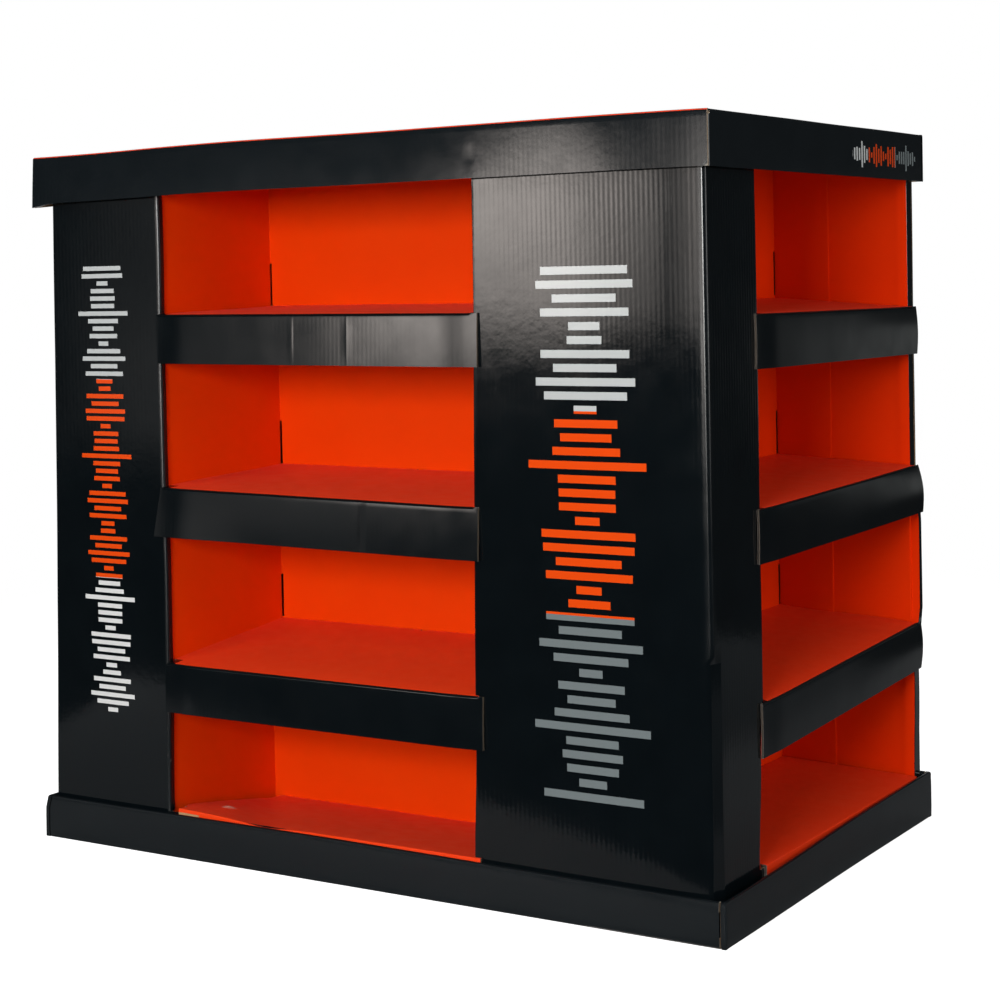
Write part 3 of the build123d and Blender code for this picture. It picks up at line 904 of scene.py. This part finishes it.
# Floors: where the front one's print has torn, and how far its corner is bent

TORN = Vector((-199.0, 64.0))
TORN_CELL, TORN_REACH, TORN_WEAR, TORN_FLAP = 5.0, 14.0, 1.2, 3.0
CREASE_BACK, CREASE_FRONT = Vector((-242.0, 235.0)), Vector((-98.0, 18.0))
CREASE_RISE, CREASE_DIP, END_TUCK = 5.0, 3.5, 13.0


def floor_sheet(name, bay, depth, right, levels, node, materials, seed, torn=None, shape=None):
    """A bay's loose floor: lip behind the tray wall, sloping panel and back leg, perhaps torn."""
    front_z, back_z = levels
    lip = [(-FLOOR_OUT, front_z - FLOOR_LIP), (-FLOOR_OUT, front_z)]
    bm = lying([*lip, (depth, back_z), (depth, SHEET_FOOT)], HALF)
    cut(bm, "X", steps(-HALF, HALF, FLOOR_CELL))
    cut(bm, "Y", [NECK - 1, NECK, *steps(NECK, depth, FLOOR_CELL)])
    widen(bm, LEFT_WALL + FLOOR_GAP, right - FLOOR_GAP)
    if torn:
        cut(bm, "Z", [front_z - TORN_CELL])
        for axis, place in zip("XY", torn):
            cut(bm, axis, [place - TORN_CELL, place, place + TORN_CELL])
    soften(bm, FLOOR_FOLD, 2)
    if torn:
        wear = bm.verts.layers.float.new("wear")
        for vert in bm.verts:
            vert[wear] = TORN_WEAR * hump((vert.co.xy - torn).length, 0.0, TORN_REACH)
        for face in bm.faces:
            middle = face.calc_center_median()
            bare = middle.x < torn.x + TORN_REACH - 2 and middle.z < front_z - TORN_CELL
            if bare and middle.y < -FLOOR_OUT + FLOOR_FOLD / 2:
                face.material_index = BACK
    if shape:
        warp(bm, shape)
    undulate(bm, height=0.5, size=110.0, seed=seed)
    bmesh.ops.transform(bm, matrix=bay, verts=bm.verts)
    thicken(bm)
    finish(name, bm, node, materials)


def bent_corner(co):
    """The front floor's left front corner is bent up along a crease to the back left corner."""
    way = (CREASE_FRONT - CREASE_BACK).normalized()
    off = way.cross(co.xy - CREASE_BACK)
    raised = CREASE_RISE * ease(-off, 0.0, 120.0)
    pressed = -CREASE_DIP * hump(off, 0.0, 45.0) * (1 - ease(co.y, 200.0, 235.0))
    tucked = END_TUCK * ease(-co.x, 215.0, 241.0) * (1 - ease(co.y, 8.0, 40.0))
    flap = TORN_FLAP * hump((co.xy - TORN).length, 0.0, TORN_REACH - 2)
    return (tucked, 0, raised + pressed + flap)


floor_sheet(
    "front_bay_floor_board",
    FRONT_BAY,
    FRONT_DEPTH,
    FRONT_RIGHT_WALL,
    FRONT_FLOOR,
    "front_bay_floor",
    (front_orange, kraft, front_edge),
    seed=12,
    torn=TORN,
    shape=bent_corner,
)
floor_sheet(
    "side_bay_floor_board",
    SIDE_BAY,
    SIDE_DEPTH,
    SIDE_RIGHT_WALL,
    SIDE_FLOOR,
    "side_bay_floor",
    (side_orange, kraft, side_edge),
    seed=13,
)


# Tray: bottom and end walls that wrap round the corners, then the long walls, all with rolled rims

RIM_RUN, RIM_ROUND, FOOT_RUN, FOOT_ROUND = 17.0, 1.2, 12.0, 1.5  # what is rounded, and how far
LEFT_FLARE, NEAR_OUT, NEAR_LOW, FAR_HIGH = 4.5, 4.0, 4.0, 5.0  # how its corners have moved


def rolled(co):
    """The tray's walls are rounded towards rim and foot, and its rim is low at the near corner."""
    near = ease(co.x, -100.0, TRAY_X) * ease(-co.y, -100.0, TRAY_Y)
    far = ease(co.x, 300.0, TRAY_X) * ease(co.y, -200.0, TRAY_Y)
    inward = RIM_ROUND * max(0.0, (co.z - TRAY_WALL + RIM_RUN) / RIM_RUN) ** 2
    inward += FOOT_ROUND * max(0.0, (FOOT_RUN - co.z) / FOOT_RUN) ** 2
    along_x = -math.copysign(inward, co.x) if abs(co.x) > TRAY_X - 0.5 else 0.0
    along_x -= LEFT_FLARE * ease(-co.x, 470.0, TRAY_X) * (1 - ease(co.z, 36.0, TRAY_WALL))
    along_x += NEAR_OUT * near * ease(co.x, 420.0, TRAY_X)
    along_y = -math.copysign(inward, co.y) if abs(co.y) > TRAY_Y - 0.5 else 0.0
    return (along_x, along_y, co.z / TRAY_WALL * (FAR_HIGH * far - NEAR_LOW * near))


tray_end = TRAY_Y - HEM - 1
leg = HEM - BOARD
tray = swept(
    [
        (-TRAY_X + HEM, -tray_end, leg),
        (-TRAY_X + HEM, -tray_end, TRAY_WALL),
        (-TRAY_X, -tray_end, TRAY_WALL),
        (-TRAY_X, -tray_end, 0),
        (TRAY_X, -tray_end, 0),
        (TRAY_X, -tray_end, TRAY_WALL),
        (TRAY_X - HEM, -tray_end, TRAY_WALL),
        (TRAY_X - HEM, -tray_end, leg),
    ],
    (0, 2 * tray_end, 0),
)
for side in (-1, 1):
    for end in (-1, 1):
        outer, inner = side * TRAY_X, side * (TRAY_X - HEM)
        low, high = min(outer, inner), max(outer, inner)
        rim = open_edges(tray, (low, end * tray_end, TRAY_WALL), (high, end * tray_end, TRAY_WALL))
        wall = open_edges(tray, (outer, end * tray_end, 0), (outer, end * tray_end, TRAY_WALL))
        pull(tray, rim + wall, (0, end * (TRAY_Y - tray_end), 0))
        corner = open_edges(tray, (outer, end * TRAY_Y, 0), (outer, end * TRAY_Y, TRAY_WALL))
        pull(tray, corner, (inner - outer, 0, 0))
bmesh.ops.remove_doubles(tray, verts=tray.verts, dist=SNUG)
wall_end = TRAY_X - HEM - 1.8
hem_y = TRAY_Y - HEM
long_wall = [(tray_end - 5, 0), (TRAY_Y, 0), (TRAY_Y, TRAY_WALL), (hem_y, TRAY_WALL), (hem_y, leg)]
for turn in (1, -1):
    lying([(-y * turn, z) for y, z in long_wall], wall_end * turn, tray)
cut(tray, "X", steps(-TRAY_X, TRAY_X))
cut(tray, "Y", steps(-TRAY_Y, TRAY_Y))
cut(tray, "Z", [8.0, 14.0, 27.0, 40.0, 45.0, 50.0])
soften(tray, FOLD, 4)
warp(tray, rolled)
thicken(tray)
for face in tray.faces:
    middle = face.calc_center_median()
    if face.material_index == EDGE and (middle.x < 0 or 14 < middle.z < 44):
        face.material_index = PRINT
finish("base_tray_board", tray, "base_tray", (tray_black, kraft, wall_edge))


# Cap: a top panel, four skirts drawn down from its edges, and glue tabs behind the long skirts

KNOCK_X, KNOCK_Z, KNOCK_REACH, KNOCK = 198.0, 890.0, 9.0, 0.5
LEFT_OFF, RIGHT_OFF, DROOP = 3.2, 1.6, 5.0  # how far the front skirt stands off, and its end droops


def dented(co):
    """The cap's front skirt stands off unevenly, has a knock and curves back at its near end."""
    front = 1 - ease(co.y, -CAP_Y + 6, -CAP_Y + 60)
    drop = (CAP_TOP - co.z) / (CAP_TOP - CAP_FOOT)
    off = LEFT_OFF * (1 - ease(co.x, 90.0, 290.0)) + RIGHT_OFF * hump(co.x, 400.0, 60.0)
    droop = DROOP * hump(co.x, -CAP_X, 28.0) * front * ease(drop, 0.45, 1.0)
    knock = 0.0
    if co.y < -CAP_Y + 1:
        knock = KNOCK * hump(co.x, KNOCK_X, KNOCK_REACH) * hump(co.z, KNOCK_Z, KNOCK_REACH)
    return (0, front * (turned_in(co.x, CAP_X) - off * drop) + knock, -droop)


cap_end = CAP_Y - BOARD - FOLD
cap = bmesh.new()
bmesh.ops.create_grid(cap, x_segments=1, y_segments=1, size=1.0)
bmesh.ops.scale(cap, vec=(CAP_X, cap_end, 1), verts=cap.verts)
bmesh.ops.translate(cap, verts=cap.verts, vec=(0, 0, CAP_TOP))
for side in (-1, 1):
    skirt = open_edges(cap, (-CAP_X, side * cap_end, CAP_TOP), (CAP_X, side * cap_end, CAP_TOP))
    pull(cap, skirt, (0, side * (CAP_Y - cap_end), 0), (0, 0, CAP_FOOT - CAP_TOP))
for side in (-1, 1):
    skirt = open_edges(cap, (side * CAP_X, -cap_end, CAP_TOP), (side * CAP_X, cap_end, CAP_TOP))
    pull(cap, skirt, (0, 0, -CAP_SEAM), (0, 0, CAP_FOOT - CAP_TOP + CAP_SEAM))
    for end in (-1, 1):
        corner_x, corner_y = side * CAP_X, end * cap_end
        low, high = (corner_x, corner_y, CAP_FOOT), (corner_x, corner_y, CAP_TOP - CAP_SEAM)
        tab = (-side * CAP_TAB, 0, 0)
        pull(cap, open_edges(cap, low, high), (0, end * (FOLD - 0.2), 0), tab)
cut(cap, "X", steps(-CAP_X, CAP_X))
cut(cap, "Y", steps(-cap_end, cap_end))
cut(cap, "Z", steps(CAP_FOOT, CAP_TOP, FINE))
cut(cap, "X", [KNOCK_X + step for step in (-10, -5, 0, 5, 10)])
cut(cap, "X", steps(CAP_X - BEND, CAP_X, FINE))
soften(cap, FOLD, 3)
cap.normal_update()
for face in cap.faces:
    middle = face.calc_center_median()
    if face.normal.z > 0.3 and face.normal.y < -0.3 and middle.y < -CAP_Y + FOLD:
        face.material_index = SECOND
wear = cap.verts.layers.float.new("wear")
near_tip, tip_wear, tip_reach = Vector((CAP_X, -CAP_Y, CAP_FOOT)), 0.9, 7.0
for vert in cap.verts:
    vert[wear] = tip_wear * hump((vert.co - near_tip).length, 0.0, tip_reach)
warp(cap, dented)
undulate(cap, height=0.4, size=120.0, seed=14)
thicken(cap)
cap.normal_update()
# The cap's bottom cut edges are printed black: painted shade under the cap. The far end's cut edge
# is printed black too.
for face in cap.faces:
    middle = face.calc_center_median()
    far_end = middle.x > CAP_X - 12 and middle.y > cap_end
    if far_end or face.material_index == EDGE and face.normal.z < -0.7:
        face.material_index = PRINT
finish("top_cap_board", cap, "top_cap", (cap_black, kraft, wall_edge, front_orange))


# Studio, in metres: pale floor, soft light and the camera

FLOOR = 12.0  # half the floor's side
FLOOR_LIT = 0.8
FLOOR_FADE = {1: 0.9, 2: 2.6, 3: 1.0, 4: 0.0}  # it shows near the stand, the backdrop further off
PAPER_PAINTED_SHADE = ((0.35, 0.55, 0.58), (0.87, 0.95, 0.42))  # where the paper darkens as painted shade, and how far


def stage_sheet(name, corners, material, *unseen_by):
    """A flat stage piece from its corners, left out of what some rays see."""
    bm = bmesh.new()
    bm.faces.new([bm.verts.new(corner) for corner in corners])
    mesh = bpy.data.meshes.new(name)
    bm.to_mesh(mesh)
    bm.free()
    mesh.materials.append(material)
    sheet = bpy.data.objects.new(name, mesh)
    bpy.context.scene.collection.objects.link(sheet)
    for rays in unseen_by:
        setattr(sheet, f"visible_{rays}", False)


paper, tree, shader, place = new_material("studio_floor")
shader.inputs["Base Color"].default_value = linear("#f4f4f2")
shader.inputs["Roughness"].default_value = 0.8
shader.inputs["Emission Color"].default_value = (1, 1, 1, 1)
shader.inputs["Emission Strength"].default_value = FLOOR_LIT
away = add(tree, "VectorMath", {0: place}, operation="LENGTH").outputs["Value"]
fade = add(tree, "MapRange", {0: away, **FLOOR_FADE}, interpolation_type="SMOOTHSTEP")
tree.links.new(fade.outputs[0], shader.inputs["Alpha"])
corners = [(-FLOOR, -FLOOR, 0), (FLOOR, -FLOOR, 0), (FLOOR, FLOOR, 0), (-FLOOR, FLOOR, 0)]
stage_sheet("studio_floor", corners, paper, "glossy", "diffuse")

# The paper that the stand reflects darkens to the right: painted shade in place of the floor there
# lying in shadow.
white, tree, shader, place = new_material("studio_paper")
across = add(tree, "SeparateXYZ", {0: place}).outputs["X"]
parts = []
for first, last, most in PAPER_PAINTED_SHADE:
    limits = {0: across, 1: first, 2: last, 4: most}
    parts.append(add(tree, "MapRange", limits, interpolation_type="SMOOTHSTEP").outputs[0])
shade = add(tree, "Math", {0: parts[0], 1: parts[1]}, operation="ADD").outputs[0]
tones = {"Factor": shade, "A": linear("#f4f6f7"), "B": linear("#7f8284")}
tone = add(tree, "Mix", tones, data_type="RGBA")
tree.links.new(tone.outputs["Result"], shader.inputs["Base Color"])
corners = [(-1.18, -1.242, 0), (1.7, 0.083, 0), (1.7, 1.5, 0), (-0.13, 1.5, 0)]
stage_sheet("studio_paper", corners, white, "camera", "diffuse", "shadow")


def glow(name, radiance, colour, fades):
    """Light from a screen: each fade is an axis, two places on it and the shares of light there."""
    material, tree, shader, place = new_material(name)
    split = add(tree, "SeparateXYZ", {0: place})
    strength = radiance
    for axis, start, end, first, last in fades:
        limits = {0: split.outputs[axis], 1: start, 2: end, 3: first, 4: last}
        fade = add(tree, "MapRange", limits, interpolation_type="SMOOTHSTEP").outputs[0]
        strength = add(tree, "Math", {0: fade, 1: strength}, operation="MULTIPLY").outputs[0]
    shader.inputs["Base Color"].default_value = (0, 0, 0, 1)
    shader.inputs["Emission Color"].default_value = (*colour, 1)
    tree.links.new(strength, shader.inputs["Emission Strength"])
    return material


def upright(left, right, foot, top):
    """Corners of an upright screen, from the places of its two ends and its height."""
    return [(*left, foot), (*right, foot), (*right, top), (*left, top)]


# Screens in front of the stand, which it shows only as reflections in its gloss
FRONT_SCREENS = (
    # name, radiance, colour, fades, then left end, right end, foot and top
    (
        "studio_window_screen",
        6.6,
        (1.0, 0.91, 0.85),
        (
            ("X", -2.38, -2.22, 0, 1),
            ("X", -1.8, -1.15, 1, 0.27),
            ("X", -1.12, -0.98, 1, 0.3),
            ("X", -0.9, -0.8, 1, 2.6),
            ("X", -0.6, -0.52, 1, 2.3),
            ("X", -0.5, -0.43, 1, 0.6),
            ("Z", 0.56, 0.7, 0, 1),
            ("Z", 0.74, 1.05, 1, 1.5),
            ("Z", 1.02, 1.25, 1, 0),
        ),
        ((-2.38, -3.5), (-0.3, -3.5), 0.56, 1.35),
    ),
    (
        "studio_corner_screen",
        10.0,
        (1.0, 0.95, 0.9),
        (("Z", 0.2, 0.6, 0, 1), ("Z", 1.15, 1.35, 1, 0)),
        ((-0.25, -3.5), (1.6, -3.5), 0.2, 1.35),
    ),
    (
        "studio_left_screen",
        0.4,
        (1.0, 0.97, 0.94),
        (
            ("X", -3.8, -3.0, 0, 1),
            ("X", -2.3, -2.1, 1, 0),
            ("Z", 0.1, 0.3, 0, 1),
            ("Z", 0.5, 0.8, 1, 0.7),
            ("Z", 1.2, 1.5, 1, 0),
        ),
        ((-3.8, -3.52), (-2.1, -3.52), 0.1, 1.5),
    ),
)
for name, radiance, colour, fades, ends in FRONT_SCREENS:
    stage_sheet(name, upright(*ends), glow(name, radiance, colour, fades), "camera", "diffuse")

# Screens beside and behind it, and on the floor behind a glowing sheet: painted light in place of
# lit pale paper, seen only in reflections
side_fades = (
    ("X", 1.15, 1.3, 0, 1),
    ("X", 1.45, 1.75, 1, 0),
    ("Z", 0.2, 0.45, 0, 1),
    ("Z", 0.66, 0.72, 1, 0),
)
side_glow = glow("studio_side_screen", 0.4, (0.96, 1.0, 0.98), side_fades)
stage_sheet("studio_side_screen", upright((1.85, 2.6), (1.15, 2.6), 0.2, 1.0), side_glow, "camera")
rear_fades = (("Z", 0.3, 1.4, 0.2, 1), ("Z", 1.4, 2.2, 1, 0.1))
rear_glow = glow("studio_rear_screens", 0.7, (0.97, 0.99, 1.0), rear_fades)
for name, left, right in (("back", (-0.2, 3.4), (-2.6, 2.6)), ("end", (-3.2, 1.4), (-3.4, -1.2))):
    corners = upright(left, right, 0.3, 2.2)
    stage_sheet(f"studio_{name}_screen", corners, rear_glow, "camera", "diffuse")
# The rear paper glows instead of being lit: painted light in the stand's reflections.
paper_fades = (("X", 0.0, 0.48, 1, 0), ("X", -2.6, -1.6, 0, 1), ("Y", 1.6, 2.6, 1, 0))
paper_glow = glow("studio_rear_paper", 1.0, (1.0, 1.0, 1.0), paper_fades)
plan = ((-2.6, -0.3), (-0.53, -0.3), (-0.53, 0.345), (0.48, 0.345), (0.48, 2.6), (-2.6, 2.6))
corners = [(x, y, MM) for x, y in plan]
stage_sheet("studio_rear_paper", corners, paper_glow, "camera", "diffuse", "shadow")


def softbox(name, place, aim, width, height, radiance):
    """A rectangular light of a given brightness, aimed at a point."""
    data = bpy.data.lights.new(name, "AREA")
    data.shape = "RECTANGLE"
    data.size, data.size_y = width, height
    data.energy = radiance * math.pi * width * height
    light = bpy.data.objects.new(name, data)
    bpy.context.scene.collection.objects.link(light)
    light.location = place
    light.rotation_euler = (Vector(aim) - Vector(place)).to_track_quat("-Z", "Y").to_euler()
    return light


softbox("key_light", (0.8, -3.3, 1.1), (0.0, -0.3, 0.5), 1.3, 0.7, 26.0)
softbox("right_light", (3.2, -0.1, 1.2), (0.4, 0.0, 0.5), 1.6, 1.8, 2.9)
front_top = softbox("front_top_light", (-1.2, -2.8, 2.3), (0.0, -0.2, 0.4), 1.0, 0.8, 7.0)
front_top.visible_glossy = False
softbox("top_light", (0.3, 0.6, 3.2), (0.0, 0.0, 0.5), 3.0, 2.0, 0.6)

world = bpy.data.worlds.new("studio_world")
world.use_nodes = True
bpy.context.scene.world = world
tree = world.node_tree
tree.nodes.clear()
path = add(tree, "LightPath")
fill, dim, seen = (
    add(tree, "Background", {"Color": (1, 1, 1, 1), "Strength": strength}).outputs[0]
    for strength in (0.3, 0.02, 1.0)
)
gloss = add(tree, "MixShader", {0: path.outputs["Is Glossy Ray"], 1: fill, 2: dim}).outputs[0]
back = add(tree, "MixShader", {0: path.outputs["Is Camera Ray"], 1: gloss, 2: seen}).outputs[0]
add(tree, "OutputWorld", {"Surface": back})

# Camera from the photograph's corners: focal length in pixels of a 1000-pixel picture
FOCAL, PICTURE, SHIFT = 2097.5, 1000, -0.155
YAW, ROLL, PITCH = math.radians(32.11), math.radians(-1.20), math.radians(1.89)
EYE = Vector((1.5327, -2.3968, 0.7521))
data = bpy.data.cameras.new("photo_camera")
data.sensor_width = 36.0
data.lens = data.sensor_width * FOCAL / PICTURE
data.shift_y = SHIFT
camera = bpy.data.objects.new("photo_camera", data)
bpy.context.scene.collection.objects.link(camera)
forward = Vector(
    (-math.sin(YAW) * math.cos(PITCH), math.cos(YAW) * math.cos(PITCH), -math.sin(PITCH))
)
level_right = Vector((math.cos(YAW), math.sin(YAW), 0))
level_up = level_right.cross(forward)
right = math.cos(ROLL) * level_right + math.sin(ROLL) * level_up
up = -math.sin(ROLL) * level_right + math.cos(ROLL) * level_up
turn = Matrix((right, up, -forward)).transposed()
camera.matrix_world = Matrix.Translation(EYE) @ turn.to_4x4()
bpy.context.scene.camera = camera
bpy.context.scene.view_settings.view_transform = "Standard"
